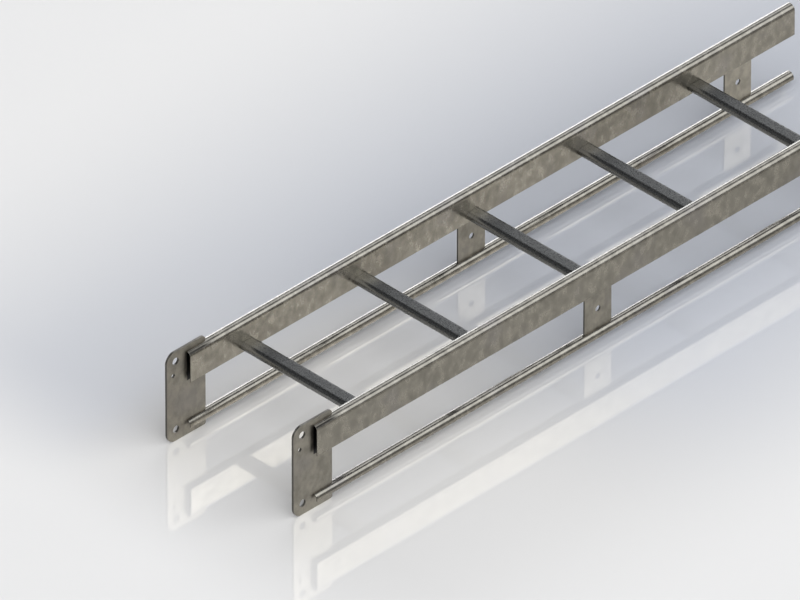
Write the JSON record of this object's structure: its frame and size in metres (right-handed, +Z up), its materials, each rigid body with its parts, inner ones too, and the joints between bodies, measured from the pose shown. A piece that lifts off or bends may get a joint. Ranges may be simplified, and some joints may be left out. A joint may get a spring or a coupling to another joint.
{
  "type": "cable ladder",
  "caption": "Straight welded cable ladder: two rails of folded channel chords and flat posts, flat-oval rungs between them, and drilled joining plates at one end.",
  "frame": {"origin": "middle of the footprint, at the height of the end plates' foot", "axes": "+X along the ladder from its end plates to its plain end, +Y across it from the front rail to the back rail, +Z up"},
  "size_m": [1.394, 0.3, 0.17],
  "materials": {
    "galvanised_chord": "hot-dip galvanised, dull and mottled grey with a faint brown cast",
    "galvanised_plate": "hot-dip galvanised, dull and mottled grey with a faint brown cast",
    "galvanised_rung": "hot-dip galvanised, darker and smoother grey than the rails"
  },
  "bodies": {
    "root": {"front_upper_chord": "galvanised_chord", "front_lower_chord": "galvanised_chord", "front_end_plate": "galvanised_plate", "front_post_1": "galvanised_plate", "front_post_2": "galvanised_plate", "back_upper_chord": "galvanised_chord", "back_lower_chord": "galvanised_chord", "back_end_plate": "galvanised_plate", "back_post_1": "galvanised_plate", "back_post_2": "galvanised_plate", "rung_1": "galvanised_rung", "rung_2": "galvanised_rung", "rung_3": "galvanised_rung", "rung_4": "galvanised_rung", "rung_5": "galvanised_rung"}
  },
  "joints": []
}
